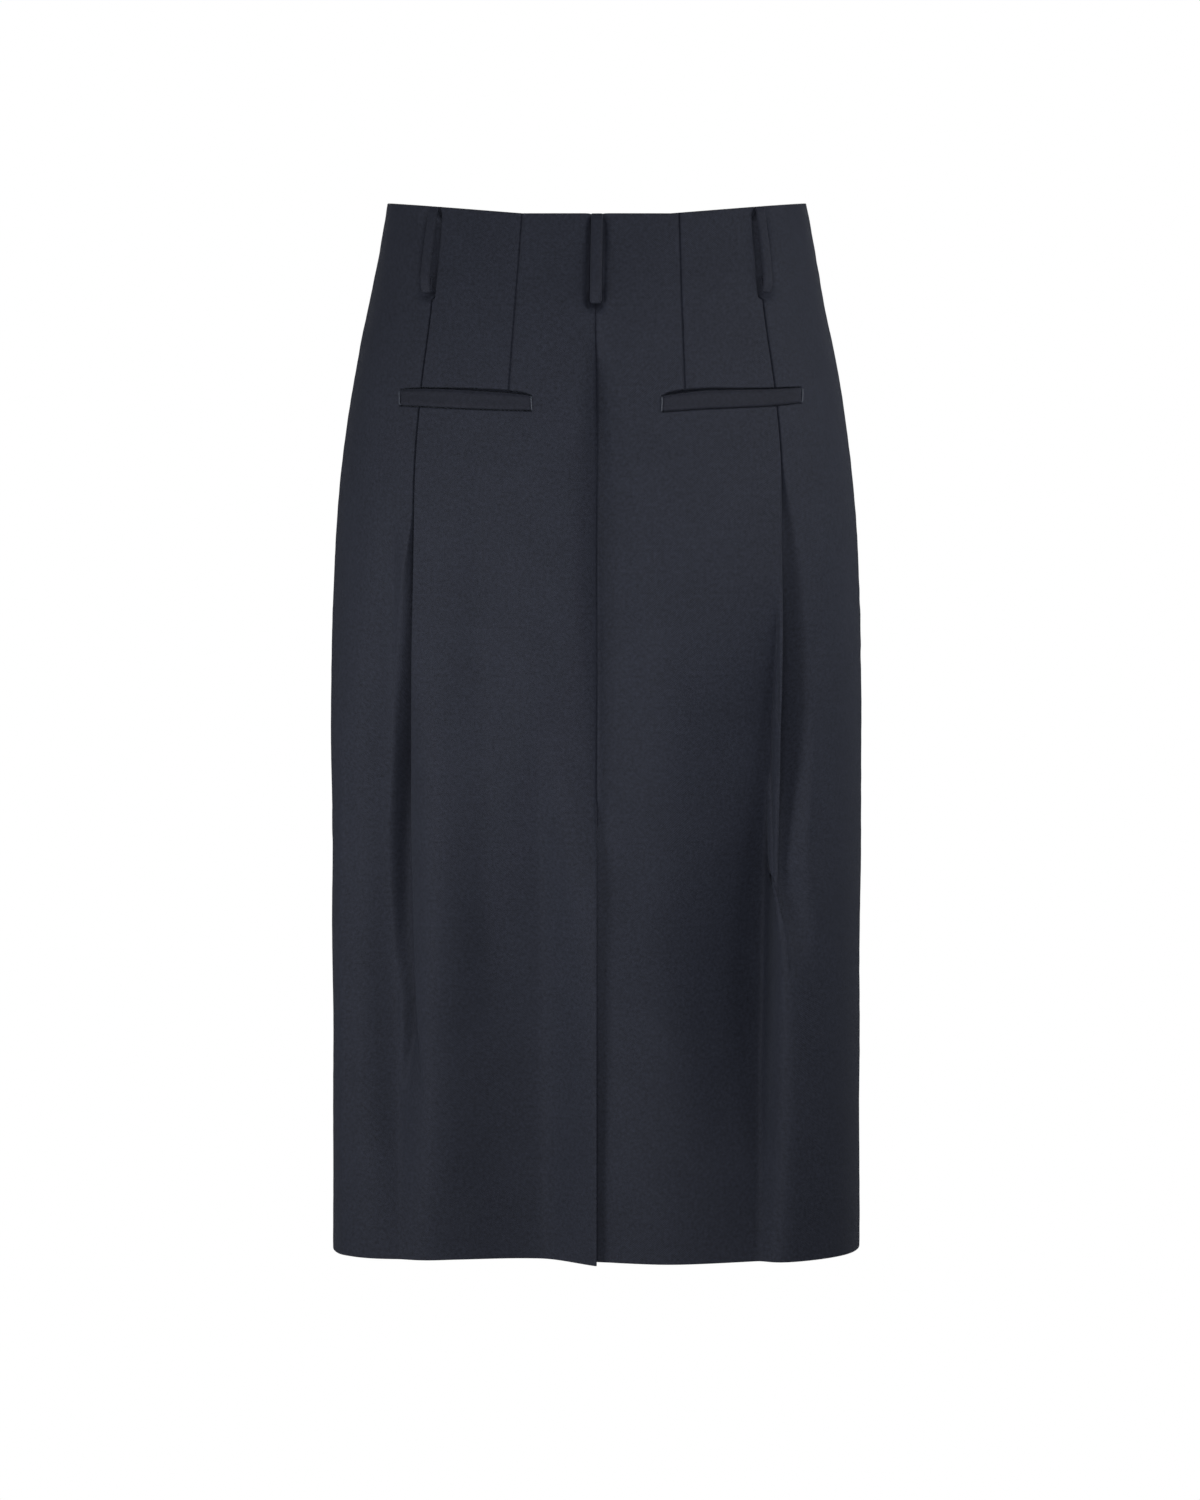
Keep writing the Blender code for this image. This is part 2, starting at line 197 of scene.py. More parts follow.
# Each belt loop, sewn on later: where the middle of its strip lies, from the centre line, at the
# waist edge and at its lower end, and its length.
Loop = namedtuple("Loop", "place face side at_waist at_end length")
LOOPS = [
    Loop("centre_back", "back", 1, 0.0004, -0.0005, 0.0672),
    Loop("back_left", "back", -1, 0.1092, 0.1134, 0.0600),
    Loop("back_right", "back", 1, 0.1096, 0.1133, 0.0600),
    Loop("front_left", "front", -1, 0.0770, 0.0790, 0.0600),
    Loop("front_right", "front", 1, 0.0770, 0.0790, 0.0600),
]
# The back is drawn in behind its own loops: how deep, half how wide and how squarely, over what
# height the dent starts and ends, and how far it runs past the strip's end.
LOOP_DENT = 0.0095
LOOP_DENT_HALF = 0.0054
LOOP_DENT_SQUARE = 8
LOOP_DENT_START = 0.012
LOOP_DENT_END = 0.003
LOOP_DENT_PAST = 0.0045


def read(table, column, at):
    """A column of a table at any place along its first column, on a smooth curve through its rows."""
    rows = sorted(table, key=lambda row: row[0])
    keys = np.array([row[0] for row in rows])
    values = np.array([getattr(row, column) for row in rows])
    slopes = np.gradient(values, keys)
    at = np.clip(at, keys[0], keys[-1])
    low = np.clip(np.searchsorted(keys, at) - 1, 0, len(keys) - 2)
    step = keys[low + 1] - keys[low]
    t = (at - keys[low]) / step
    start = values[low] * (1 + 2 * t) * (1 - t) ** 2 + step * slopes[low] * t * (1 - t) ** 2
    end = values[low + 1] * t * t * (3 - 2 * t) - step * slopes[low + 1] * t * t * (1 - t)
    return start + end


def eased(t):
    """A smooth step from 0 to 1."""
    t = np.clip(t, 0, 1)
    return t * t * (3 - 2 * t)


def bell(distance, reach):
    """1 at no distance, dying away smoothly a little past its reach."""
    return np.exp(-((distance / reach) ** 2))


def unit(vectors):
    """The same directions, each of length 1."""
    return vectors / np.linalg.norm(vectors, axis=-1, keepdims=True)


# The form is worked out once, at even heights and at even distances along the cloth, from a little
# above the waist edge to a little below the hem.
FORM_ABOVE = 0.004
FORM_BELOW = 0.008
FORM_DROP = 0.002
FORM_STEP = 0.0005
FORM_ANGLES = 721
FORM_HEIGHTS = np.arange(FORM_ABOVE, HEM - FORM_BELOW, -FORM_DROP)


def worked_form(face, side):
    """x and y of the middle of the cloth, from the centre back or front to a side seam."""
    half_width = read(LEVELS, "half_width", FORM_HEIGHTS)[:, None] - CLOTH / 2
    depth = read(LEVELS, face, FORM_HEIGHTS)[:, None] - CLOTH / 2
    square = "square_left" if side < 0 else "square_right"
    power = 2 / read(LEVELS, square, FORM_HEIGHTS)[:, None]
    angle = np.linspace(0, math.pi / 2, FORM_ANGLES)[None]
    x = half_width * np.sin(angle) ** power
    y = depth * np.cos(angle).clip(0) ** power * (-1 if face == "back" else 1)
    along = np.zeros_like(x)
    along[:, 1:] = np.cumsum(np.hypot(np.diff(x), np.diff(y)), axis=1)
    even = np.arange(0, along.max() + FORM_STEP, FORM_STEP)
    even_x = np.array([np.interp(even, *row) for row in zip(along, x)])
    even_y = np.array([np.interp(even, *row) for row in zip(along, y)])
    return even, even_x, even_y, along[:, -1]


FORM = {(face, side): worked_form(face, side) for face in ("back", "front") for side in (-1, 1)}


def side_seam(height, face, side):
    """How far along the cloth the side seam lies from the centre line."""
    return np.interp(-height, -FORM_HEIGHTS, FORM[face, side][3]) - SEAM_GAP / 2


def along_at(height, face, side, x):
    """How far along the cloth a distance from the centre line lies."""
    even, form_x, _, _ = FORM[face, side]
    row = np.rint((FORM_HEIGHTS[0] - np.asarray(height)) / FORM_DROP).astype(int)
    pairs = np.broadcast(row, x)
    found = [np.interp(one, form_x[line], even) for line, one in pairs]
    return np.array(found).reshape(pairs.shape)


def on_form(height, face, side, along):
    """x and y of the form; past the centre line it runs on as a mirror image."""
    _, form_x, form_y, _ = FORM[face, side]
    down = (FORM_HEIGHTS[0] - height) / FORM_DROP
    over = np.abs(along) / FORM_STEP
    row = np.clip(down.astype(int), 0, form_x.shape[0] - 2)
    column = np.clip(over.astype(int), 0, form_x.shape[1] - 2)
    down = down - row
    over = over - column

    def between(table):
        upper = table[row, column] * (1 - over) + table[row, column + 1] * over
        lower = table[row + 1, column] * (1 - over) + table[row + 1, column + 1] * over
        return upper * (1 - down) + lower * down

    return between(form_x) * np.sign(along), between(form_y)


def soft_folds(folds, x, height):
    """How far the soft folds move the cloth in."""
    moved = np.zeros_like(x)
    for fold in folds:
        t = np.clip((fold.top - height) / (fold.top - fold.bottom), 0, 1)
        middle = fold.x_top + (fold.x_bottom - fold.x_top) * t
        reach = np.where(x < middle, fold.to_left, fold.to_right)
        reach = reach * (FOLD_START + (1 - FOLD_START) * eased(FOLD_OPENS * t))
        across = np.exp(-(np.abs((x - middle) / reach) ** fold.full))
        moved += fold.depth * across * np.sin(math.pi * t) ** FOLD_FADE
    return moved


def cloth_at(height, face, side, along, lift, folds):
    """Points of the cloth so far along it and so far out of it, and the way out of it at each."""
    probe = 0.001
    height, along, lift = np.broadcast_arrays(height, along, lift)
    x, y = on_form(height, face, side, along)
    ahead_x, ahead_y = on_form(height, face, side, along + probe)
    behind_x, behind_y = on_form(height, face, side, along - probe)
    ahead = unit(np.stack([ahead_x - behind_x, ahead_y - behind_y], axis=-1))
    turn = 1 if face == "back" else -1
    out_x = turn * ahead[..., 1]
    out_y = -turn * ahead[..., 0]
    half_width = read(LEVELS, "half_width", height) - CLOTH / 2
    sunk = soft_folds(folds, x * side, height) * turn
    sunk = sunk * eased((half_width - np.abs(x)) / SIDE_FLAT)
    x = x + out_x * lift
    y = y + out_y * lift + sunk
    slope = np.minimum((1 - np.abs(x) / half_width) / (1 - DART_AT), 1)
    dip = BACK_DIP if face == "back" else FRONT_DIP
    z = height - dip * slope * np.maximum(1 + height / DIP_REACH, 0)
    points = np.stack([x * side, y, z], axis=-1)
    outward = np.stack([out_x * side, out_y, np.zeros_like(out_x)], axis=-1)
    return points, outward


# In how many steps the pleat's folds, its tucked layer and its rise to the surface are set out.
ARC_STEPS = 6
TUCK_STEPS = 5
RISE_STEPS = 10
# How much longer the arcs of a fold get as it opens, in fold radii.
FOLD_RADIUS = 0.00075
OPEN_ARC = 3.6
# The lower layer of an open pleat falls away by a share of its sink. Clear of the tuck, the side of
# the panel runs flat for a share of the flare, and then rises.
FALLS = 0.40
TUCK_CLEAR = 0.001
RISE_FROM = 0.3


def pleat_path(height, side):
    """The tuck at each height, from its folded edge to where the side of the panel lies flat again."""
    table = PLEAT_LEFT if side < 0 else PLEAT_RIGHT
    edge = along_at(height, "back", side, read(table, "edge", height))
    tuck = read(table, "tuck", height)
    turn = math.pi * np.clip(read(table, "turn", height), 0, 1)
    flare = np.maximum(read(table, "flare", height), CLOSED_FLARE)
    sink = np.maximum(read(table, "sink", height), 0)
    # A fold that is opening bends round longer arcs, until it lies flat.
    chord = 2 * math.sin(math.pi / 2 / ARC_STEPS)
    arc_step = FOLD_RADIUS * (chord + OPEN_ARC * (1 - turn / math.pi) / ARC_STEPS)
    turned = (np.arange(ARC_STEPS) + 0.5) / ARC_STEPS
    headings = [(turn * t, arc_step) for t in turned]
    headings += [(turn, tuck / TUCK_STEPS)] * TUCK_STEPS
    headings += [(turn * t, arc_step) for t in reversed(turned)]
    along = [edge - FOLD_RADIUS]
    lift = [np.zeros_like(edge)]
    for heading, length in headings:
        along.append(along[-1] + length * np.cos(heading))
        lift.append(lift[-1] - length * np.sin(heading))
    deepest = lift[-1] - sink
    # Where the pleat stands open, its lower layer falls away from the upper one.
    for k in range(ARC_STEPS // 2 + 1, len(lift)):
        lift[k] = lift[k] - FALLS * sink
    level = np.maximum(edge + CLOTH + SEAM_GAP, along[-1] + TUCK_CLEAR)
    for t in np.linspace(0, 1, RISE_STEPS + 1):
        along.append(level + flare * t)
        lift.append(deepest * (1 - eased((t - RISE_FROM) / (1 - RISE_FROM))))
    return np.stack(along, axis=1), np.stack(lift, axis=1)


def spread(start, end, count, tight=0.75):
    """Distances from start to end in each row, closer together near both."""
    t = np.linspace(0, 1, count + 1)
    t = t - tight * np.sin(2 * math.pi * t) / (2 * math.pi)
    return start[:, None] + (end - start)[:, None] * t


def joined(*parts):
    """Runs of columns one after another, each starting where the last one ends."""
    return np.concatenate([part[:, :-1] for part in parts[:-1]] + [parts[-1]], axis=1)


def even_rows(top, bottom, step=0.0036):
    """Heights at about even steps, from below the top to the bottom."""
    return np.linspace(top, bottom, max(int(round((top - bottom) / step)), 1) + 1)[1:]


# Rows of cloth lie closer at the waist, at the hem and at the two edges of the pocket's mouth. The
# rows at the mouth's top and bottom bend to run along those edges, and less so further from it.
MOUTH_TOP = -0.1270
MOUTH_BOTTOM = -0.1370
MOUTH_REACH = 0.035
MOUTH_ROW_STEP = 0.0012
ABOVE_MOUTH = np.array([4.2, 3.3, 2.7, 2.3, 2.0, 1.75, 1.5, 1.25, 1.0, 0.75, 0.5, 0.25, 0.0]) / 1000
BELOW_MOUTH = np.array([0.0, 0.25, 0.5, 0.75, 1.0, 1.4, 2.0, 3.0, 4.5]) / 1000
WAIST_ROWS = np.array([0.0, -0.5, -1.2, -2.4, -4.5]) / 1000
HEM_ROWS = HEM + np.array([4.0, 2.0, 0.9, 0.3, 0.0]) / 1000
BACK_ROWS = np.concatenate([
    WAIST_ROWS,
    even_rows(WAIST_ROWS[-1], MOUTH_TOP + ABOVE_MOUTH[0])[:-1],
    MOUTH_TOP + ABOVE_MOUTH,
    even_rows(MOUTH_TOP, MOUTH_BOTTOM, MOUTH_ROW_STEP)[:-1],
    MOUTH_BOTTOM - BELOW_MOUTH,
    even_rows(MOUTH_BOTTOM - BELOW_MOUTH[-1], VENT_TOP),
    even_rows(VENT_TOP, HEM_ROWS[0])[:-1],
    HEM_ROWS,
])


def drawn_to_mouth(height, x, mouth):
    """Rows near the pocket bend to run along the two edges of its mouth."""
    top_shift = read(mouth, "top", x) - MOUTH_TOP
    bottom_shift = read(mouth, "bottom", x) - MOUTH_BOTTOM
    down = np.clip((MOUTH_TOP - height) / (MOUTH_TOP - MOUTH_BOTTOM), 0, 1)
    shift = top_shift * (1 - down) + bottom_shift * down
    away = np.maximum(height - MOUTH_TOP, MOUTH_BOTTOM - height) / MOUTH_REACH
    return height + shift * (1 - np.clip(away, 0, 1))


# At the pocket's mouth the cloth rounds over a narrow lip and dives under the welt. A gap runs along
# the welt, wider above it, with a trench in it that is shallower below the welt. The gape of the
# cloth above closes towards the mouth's ends.
LIP = 0.0005
MOUTH_DEPTH = 0.0034
MOUTH_GAP = 0.0009
MOUTH_ENDS = 0.006
TRENCH_DEPTH = 0.0056
TRENCH_BELOW = 0.8


def mouth_relief(height, x, mouth):
    """The pocket's mouth: the cloth dives under the welt, and gapes above it."""
    top = read(mouth, "top", x)
    bottom = read(mouth, "bottom", x)
    ends = eased((x - mouth[0].x) / MOUTH_ENDS) * eased((mouth[-1].x - x) / MOUTH_ENDS)
    gape = read(mouth, "gape", x) * ends + MOUTH_GAP
    beyond = np.maximum(mouth[0].x - x, x - mouth[-1].x)
    outside = np.maximum(np.maximum(height - top - gape, bottom - MOUTH_GAP - height), beyond)
    dive = np.sqrt(1 - np.clip(1 - outside / LIP, 0, 1) ** 2) - 1
    above = np.clip((height - top) / gape, 0, 1)
    below = np.clip((bottom - height) / MOUTH_GAP, 0, 1)
    trench = np.sin(math.pi * above) ** 0.5 * ends
    trench += np.sin(math.pi * below) ** 0.5 * TRENCH_BELOW
    return MOUTH_DEPTH * dive - TRENCH_DEPTH * trench * (outside < 0)


def behind_loops(height, side, along):
    """How far the back is drawn in behind its belt loops."""
    drawn = np.zeros_like(along)
    for loop in LOOPS:
        if loop.face != "back" or (loop.side != side and loop.place != "centre_back"):
            continue
        x = loop.at_waist + (loop.at_end - loop.at_waist) * -height[:, :1] / loop.length
        middle = np.sign(x) * along_at(height[:, :1], "back", side, np.abs(x)) * loop.side * side
        over = np.abs(along - middle) / LOOP_DENT_HALF
        above_end = height + loop.length + LOOP_DENT_PAST
        ends = eased(-height / LOOP_DENT_START) * eased(above_end / LOOP_DENT_END)
        drawn += LOOP_DENT * np.exp(-(over ** LOOP_DENT_SQUARE)) * ends
    return drawn


def centre_hollow(height, side, along):
    """How far the cloth lies in beside the centre back seam and the open vent."""
    from_lowest = along * side - read(SEAM_HOLLOW, "middle", height)
    to_left = read(SEAM_HOLLOW, "to_left", height)
    to_right = read(SEAM_HOLLOW, "to_right", height)
    hollow = read(SEAM_HOLLOW, "depth", height)
    hollow = hollow * bell(from_lowest, np.where(from_lowest < 0, to_left, to_right))
    if side < 0:
        hollow = hollow * eased((height - VENT_TOP) / HOLLOW_FADE + 1)
    return hollow


rng = np.random.default_rng(21)


def waves(count, longest, shortest, steep):
    """Slow waves of random length, heading and phase; steep stretches them down the cloth."""
    lengths = np.exp(rng.uniform(math.log(shortest), math.log(longest), count))
    headings = rng.uniform(0, math.pi, count)
    phases = rng.uniform(0, 2 * math.pi, count)
    return [
        (math.cos(heading) / length, math.sin(heading) / length / steep, phase)
        for heading, length, phase in zip(headings, lengths, phases)
    ]


def waved(across, down, table):
    """The sum of a table of waves, of about unit size."""
    total = sum(np.sin(2 * math.pi * (across * a + down * d) + phase) for a, d, phase in table)
    return total / math.sqrt(len(table) / 2)


# The hanging cloth is a little wavy all over, not alike on the two back panels, and puckers finely
# beside its seams and darts.
WAVINESS = 0.00030
BACK_WAVES = waves(14, longest=0.120, shortest=0.035, steep=2.5)
WAVES_APART = 0.1
PUCKER = 0.00010
PUCKER_WAVES = waves(8, longest=0.030, shortest=0.012, steep=0.7)
CENTRE_PUCKER_REACH = 0.012
SIDE_PUCKER_REACH = 0.015
DART_PUCKER_REACH = 0.010

# Seams and darts are fine grooves: how far they round over to each side, and how deep they are. The
# vent's edge keeps a share of the centre seam's groove. The waist edge has a small notch at the
# centre seam.
SEAM_ROUND = 0.0009
SEAM_DEPTH = 0.0007
CENTRE_SEAM_DEPTH = 0.0014
VENT_EDGE_SHARE = 0.2
DART_ROUND = 0.0006
DART_DEPTH = 0.0016
DART_FADE = 0.002
NOTCH = 0.0014
NOTCH_HALF = 0.0035
NOTCH_REACH = 0.006


def panel_relief(height, side, along, x, wave_x):
    """A back panel's waviness, its seams, dart and pocket's mouth, and the dents behind its loops."""
    from_centre = np.abs(along)
    from_side = side_seam(height, "back", side) - along
    dart_x = read(DARTS, "left" if side < 0 else "right", height)
    from_dart = along - along_at(height, "back", side, dart_x)
    above_vent = (height > VENT_TOP) * 1.0
    above_mouth = eased((height - MOUTH_TOP) / DART_FADE + 0.5)
    relief = WAVINESS * waved(wave_x + WAVES_APART * side, height, BACK_WAVES)
    relief -= centre_hollow(height, side, along)
    relief -= behind_loops(height, side, along)
    centre_depth = CENTRE_SEAM_DEPTH * (VENT_EDGE_SHARE + (1 - VENT_EDGE_SHARE) * above_vent)
    relief -= centre_depth * bell(from_centre, SEAM_ROUND)
    relief -= SEAM_DEPTH * bell(from_side, SEAM_ROUND)
    relief -= DART_DEPTH * bell(from_dart, DART_ROUND) * above_mouth
    puckered = np.exp(-from_centre / CENTRE_PUCKER_REACH) * above_vent
    puckered += np.exp(-from_side / SIDE_PUCKER_REACH)
    puckered += np.exp(-np.abs(from_dart) / DART_PUCKER_REACH) * above_mouth
    relief += PUCKER * waved(wave_x, height, PUCKER_WAVES) * puckered
    return relief + mouth_relief(height, x, MOUTH_LEFT if side < 0 else MOUTH_RIGHT)


def directions(grid):
    """At each point of a grid, the directions of the two steps through it down the grid, added up."""
    steps = unit(np.diff(grid, axis=0))
    before = np.concatenate([steps[:1], steps])
    after = np.concatenate([steps, steps[-1:]])
    return before + after


def wall_faces(present, outer, inner, rim):
    """Faces over both sides of a wall of cloth and round its open edges, from its points' numbers."""
    row, column = np.nonzero(present)
    ring = [(row, column), (row + 1, column), (row + 1, column + 1), (row, column + 1)]
    faces = [np.stack([outer[point] for point in ring], axis=1)]
    faces.append(np.stack([inner[point] for point in reversed(ring)], axis=1))
    padded = np.pad(present, 1)
    beside = [(0, -1), (1, 0), (0, 1), (-1, 0)]
    for number, (to_row, to_column) in enumerate(beside):
        bare = ~padded[row + 1 + to_row, column + 1 + to_column]
        p = tuple(part[bare] for part in ring[number])
        q = tuple(part[bare] for part in ring[(number + 1) % 4])
        faces.append(np.stack([outer[q], outer[p], rim[p], rim[q]], axis=1))
        faces.append(np.stack([rim[q], rim[p], inner[p], inner[q]], axis=1))
    return np.concatenate(faces)


def cloth_grain(grid):
    """The distance across and down the cloth from a grid's first corner, in metres."""
    across = np.zeros(grid.shape[:2])
    across[:, 1:] = np.cumsum(np.linalg.norm(np.diff(grid, axis=1), axis=-1), axis=1)
    down = np.zeros(grid.shape[:2])
    down[1:] = np.cumsum(np.linalg.norm(np.diff(grid, axis=0), axis=-1), axis=0)
    return np.stack([across, -down.mean(axis=1, keepdims=True) + 0 * across], axis=-1)


def sewn_piece(name, points, faces, material):
    """A smooth object of one material."""
    mesh = bpy.data.meshes.new(name)
    mesh.from_pydata(points, [], faces)
    mesh.shade_smooth()
    mesh.materials.append(material)
    piece = bpy.data.objects.new(name, mesh)
    bpy.context.scene.collection.objects.link(piece)
    return piece


# How far the round edge of a wall of cloth stands out, as a share of its thickness. The wall is set
# out wider where it bends, to keep its thickness, as far as this cosine of half the bend.
RIM = 0.42
SHARPEST_BEND = 0.5


def wall(name, grid, outward, moved, thickness, material, present=None):
    """A closed wall of cloth round a grid of points, which run along its middle, with round edges.

    moved shifts both faces after the wall's thickness is set out, and present says which cells of
    the grid hold cloth.
    """
    rows, columns = grid.shape[:2]
    if present is None:
        present = np.ones((rows - 1, columns - 1), bool)
    through_rows = directions(grid)
    through_columns = directions(grid.transpose(1, 0, 2)).transpose(1, 0, 2)
    down = unit(through_rows)
    across = unit(through_columns)
    normal = np.cross(down, across)
    facing = 1 if (normal * outward).sum() > 0 else -1
    bend = np.linalg.norm(through_columns, axis=-1, keepdims=True) / 2
    half = unit(normal) * facing * thickness / 2 / np.maximum(bend, SHARPEST_BEND)
    # The four cells round each point say whether it is used, on an edge, and which way is off it.
    padded = np.pad(present, 1)
    upper_left, upper_right = padded[:-1, :-1], padded[:-1, 1:]
    lower_left, lower_right = padded[1:, :-1], padded[1:, 1:]
    around = 1 * upper_left + upper_right + lower_left + lower_right
    used = around > 0
    edge = used & (around < 4)
    off_across = 1.0 * upper_left + lower_left - upper_right - lower_right
    off_down = 1.0 * upper_left + upper_right - lower_left - lower_right
    away = across * off_across[..., None] + down * off_down[..., None]
    away = away / np.maximum(np.linalg.norm(away, axis=-1, keepdims=True), 1e-9)
    middle = grid + moved
    rim = middle + away * thickness * RIM
    points = np.concatenate([(middle + half)[used], (middle - half)[used], rim[edge]])
    index = np.full((3, rows, columns), -1)
    index[0][used] = np.arange(used.sum())
    index[1][used] = np.arange(used.sum()) + used.sum()
    index[2][edge] = np.arange(edge.sum()) + 2 * used.sum()
    faces = wall_faces(present, *index)[:, ::facing]
    piece = sewn_piece(name, points, faces.tolist(), material)
    grain = cloth_grain(grid)
    grain = np.concatenate([grain[used], grain[used], grain[edge]])
    corners = np.empty(len(piece.data.loops), np.int32)
    piece.data.loops.foreach_get("vertex_index", corners)
    layer = piece.data.uv_layers.new(name="grain")
    layer.data.foreach_set("uv", grain[corners].astype(np.float32).ravel())
    return piece


# Worsted wool twill: dark navy and charcoal fibres spun together, woven with fine slanting lines a
# wale apart, which wander a little, over fainter level threads.
WALE = 0.0009
WALE_SLANT = math.radians(52)
WANDER = 0.0006
WANDER_COUNT = 260
WANDER_DETAIL = 2
THREAD_STEP = 0.00045
THREAD_SHARE = 0.35
# What mottles the yarn: about how many spots lie side by side in a metre, how many finer sizes they
# have, and how far they lighten and darken it.
Mottle = namedtuple("Mottle", "count detail strength")
MOTTLES = {
    "flecks": Mottle(1400, 2, 1.20),
    "heather": Mottle(420, 3, 1.15),
    "slubs": Mottle(150, 2, 0.25),
    "patches": Mottle(28, 3, 0.25),
}
WEAVE_STRENGTH = 0.10
ROUGH_FROM = 0.54
ROUGH_RANGE = 0.16
NAP_DEPTH = 0.00012
FLECK_HEIGHT = 2.0


def twill(name, colour, contrast, sheen):
    """Wool twill in a colour, woven along the grain of the mesh."""
    material = bpy.data.materials.new(name)
    material.use_nodes = True
    nodes = material.node_tree.nodes
    links = material.node_tree.links
    shader = nodes["Principled BSDF"]

    def value(operation, first, second=None):
        node = nodes.new("ShaderNodeMath")
        node.operation = operation
        for socket, given in zip(node.inputs, (first, second)):
            if isinstance(given, (int, float)):
                socket.default_value = given
            elif given is not None:
                links.new(given, socket)
        return node.outputs[0]

    grain = nodes.new("ShaderNodeUVMap")
    grain.uv_map = "grain"

    def spots(count, detail):
        node = nodes.new("ShaderNodeTexNoise")
        node.inputs["Scale"].default_value = count
        node.inputs["Detail"].default_value = detail
        links.new(grain.outputs["UV"], node.inputs["Vector"])
        return node.outputs["Fac"]

    apart = nodes.new("ShaderNodeSeparateXYZ")
    links.new(grain.outputs["UV"], apart.inputs[0])
    across = value("MULTIPLY", apart.outputs[0], math.sin(WALE_SLANT))
    down = value("MULTIPLY", apart.outputs[1], math.cos(WALE_SLANT))
    wander = value("MULTIPLY", spots(WANDER_COUNT, WANDER_DETAIL), WANDER)
    slant = value("ADD", value("ADD", across, down), wander)
    wales = value("SINE", value("MULTIPLY", slant, 2 * math.pi / WALE))
    threads = value("SINE", value("MULTIPLY", apart.outputs[1], 2 * math.pi / THREAD_STEP))
    weave = value("ADD", wales, value("MULTIPLY", threads, THREAD_SHARE))
    mottled = {word: spots(mottle.count, mottle.detail) for word, mottle in MOTTLES.items()}
    # How light each spot is, round 1.
    light = value("MULTIPLY", weave, WEAVE_STRENGTH * contrast)
    for word, mottle in MOTTLES.items():
        centred = value("SUBTRACT", mottled[word], 0.5)
        light = value("ADD", light, value("MULTIPLY", centred, mottle.strength * contrast))
    light = value("ADD", light, 1.0)
    tint = nodes.new("ShaderNodeVectorMath")
    tint.operation = "SCALE"
    tint.inputs[0].default_value = colour
    links.new(light, tint.inputs["Scale"])
    links.new(tint.outputs[0], shader.inputs["Base Color"])
    rough = value("ADD", value("MULTIPLY", mottled["heather"], ROUGH_RANGE), ROUGH_FROM)
    links.new(rough, shader.inputs["Roughness"])
    bump = nodes.new("ShaderNodeBump")
    bump.inputs["Strength"].default_value = 0.5
    bump.inputs["Distance"].default_value = NAP_DEPTH
    nap = value("ADD", weave, value("MULTIPLY", mottled["flecks"], FLECK_HEIGHT))
    links.new(nap, bump.inputs["Height"])
    links.new(bump.outputs["Normal"], shader.inputs["Normal"])
    shader.inputs["Sheen Weight"].default_value = sheen
    shader.inputs["Sheen Roughness"].default_value = 0.45
    shader.inputs["Sheen Tint"].default_value = (0.75, 0.82, 1.0, 1.0)
    shader.inputs["Specular IOR Level"].default_value = 0.15
    return material


skirt_twill = twill("wool_twill", (0.0205, 0.0232, 0.0350), contrast=1.0, sheen=0.06)
# Past the pleat, columns of points close up at the mouth's outer end, at least this far from it.
PLEAT_CLEAR = 0.004


def panel_columns(rows, side, mouth):
    """How far along the cloth and out of it each column runs, from the centre back to the side."""
    pleat_along, pleat_lift = pleat_path(rows, side)
    seam = np.full(len(rows), SEAM_GAP / 2)
    dart = along_at(rows, "back", side, read(DARTS, "left" if side < 0 else "right", rows))
    mouth_inner = along_at(rows, "back", side, np.full(len(rows), mouth[0].x))
    mouth_outer = along_at(rows, "back", side, np.full(len(rows), mouth[-1].x))
    mouth_outer = np.maximum(mouth_outer, pleat_along[:, -1] + PLEAT_CLEAR)
    to_fold = joined(
        spread(seam, mouth_inner, count=24),
        spread(mouth_inner, dart, count=10),
        spread(dart, pleat_along[:, 0], count=30, tight=0.85),
    )
    to_seam = joined(
        spread(pleat_along[:, -1], mouth_outer, count=8, tight=0.5),
        spread(mouth_outer, side_seam(rows, "back", side), count=44, tight=0.8),
    )
    along = np.concatenate([to_fold[:, :-1], pleat_along, to_seam[:, 1:]], axis=1)
    lift = np.zeros_like(along)
    fold_at = to_fold.shape[1] - 1
    lift[:, fold_at:fold_at + pleat_lift.shape[1]] = pleat_lift
    return along, lift


def with_underlap(rows, along, lift):
    """The right panel steps in at the vent, and below its top runs on under the left one."""
    in_vent = eased((VENT_TOP + VENT_EASE - rows[:, None]) / VENT_EASE)
    lift = lift - VENT_STEP * in_vent * eased(1 - along / VENT_BLEND)
    lap = spread(np.full(len(rows), -VENT_LAP), along[:, 0], count=16, tight=0.5)[:, :-1]
    along = np.concatenate([lap, along], axis=1)
    lift = np.concatenate([np.full(lap.shape, -VENT_STEP), lift], axis=1)
    present = np.ones((len(rows) - 1, along.shape[1] - 1), bool)
    vent_row = int(np.argmin(abs(rows - VENT_TOP)))
    present[:vent_row, :lap.shape[1]] = False
    return along, lift, present


def back_panel(name, side):
    """Half of the back; the right one has the vent's underlap, which starts at the vent's top."""
    mouth = MOUTH_LEFT if side < 0 else MOUTH_RIGHT
    along, lift = panel_columns(BACK_ROWS, side, mouth)
    present = None
    if side > 0:
        along, lift, present = with_underlap(BACK_ROWS, along, lift)
    height = np.broadcast_to(BACK_ROWS[:, None], along.shape)
    x, _ = on_form(height, "back", side, along)
    height = drawn_to_mouth(height, x, mouth)
    grid, outward = cloth_at(height, "back", side, along, lift, BACK_FOLDS)
    relief = panel_relief(height, side, along, x, grid[..., 0])
    grid[..., 2] -= NOTCH * bell(along, NOTCH_HALF) * eased(1 + height / NOTCH_REACH)
    if side < 0:
        grid[-1, :, 2] -= LEFT_HEM_DROP * np.clip(1 + grid[-1, :, 0] / HEM_DROP_REACH, 0, 1)
    return wall(name, grid, outward, outward * relief[..., None], CLOTH, skirt_twill, present)


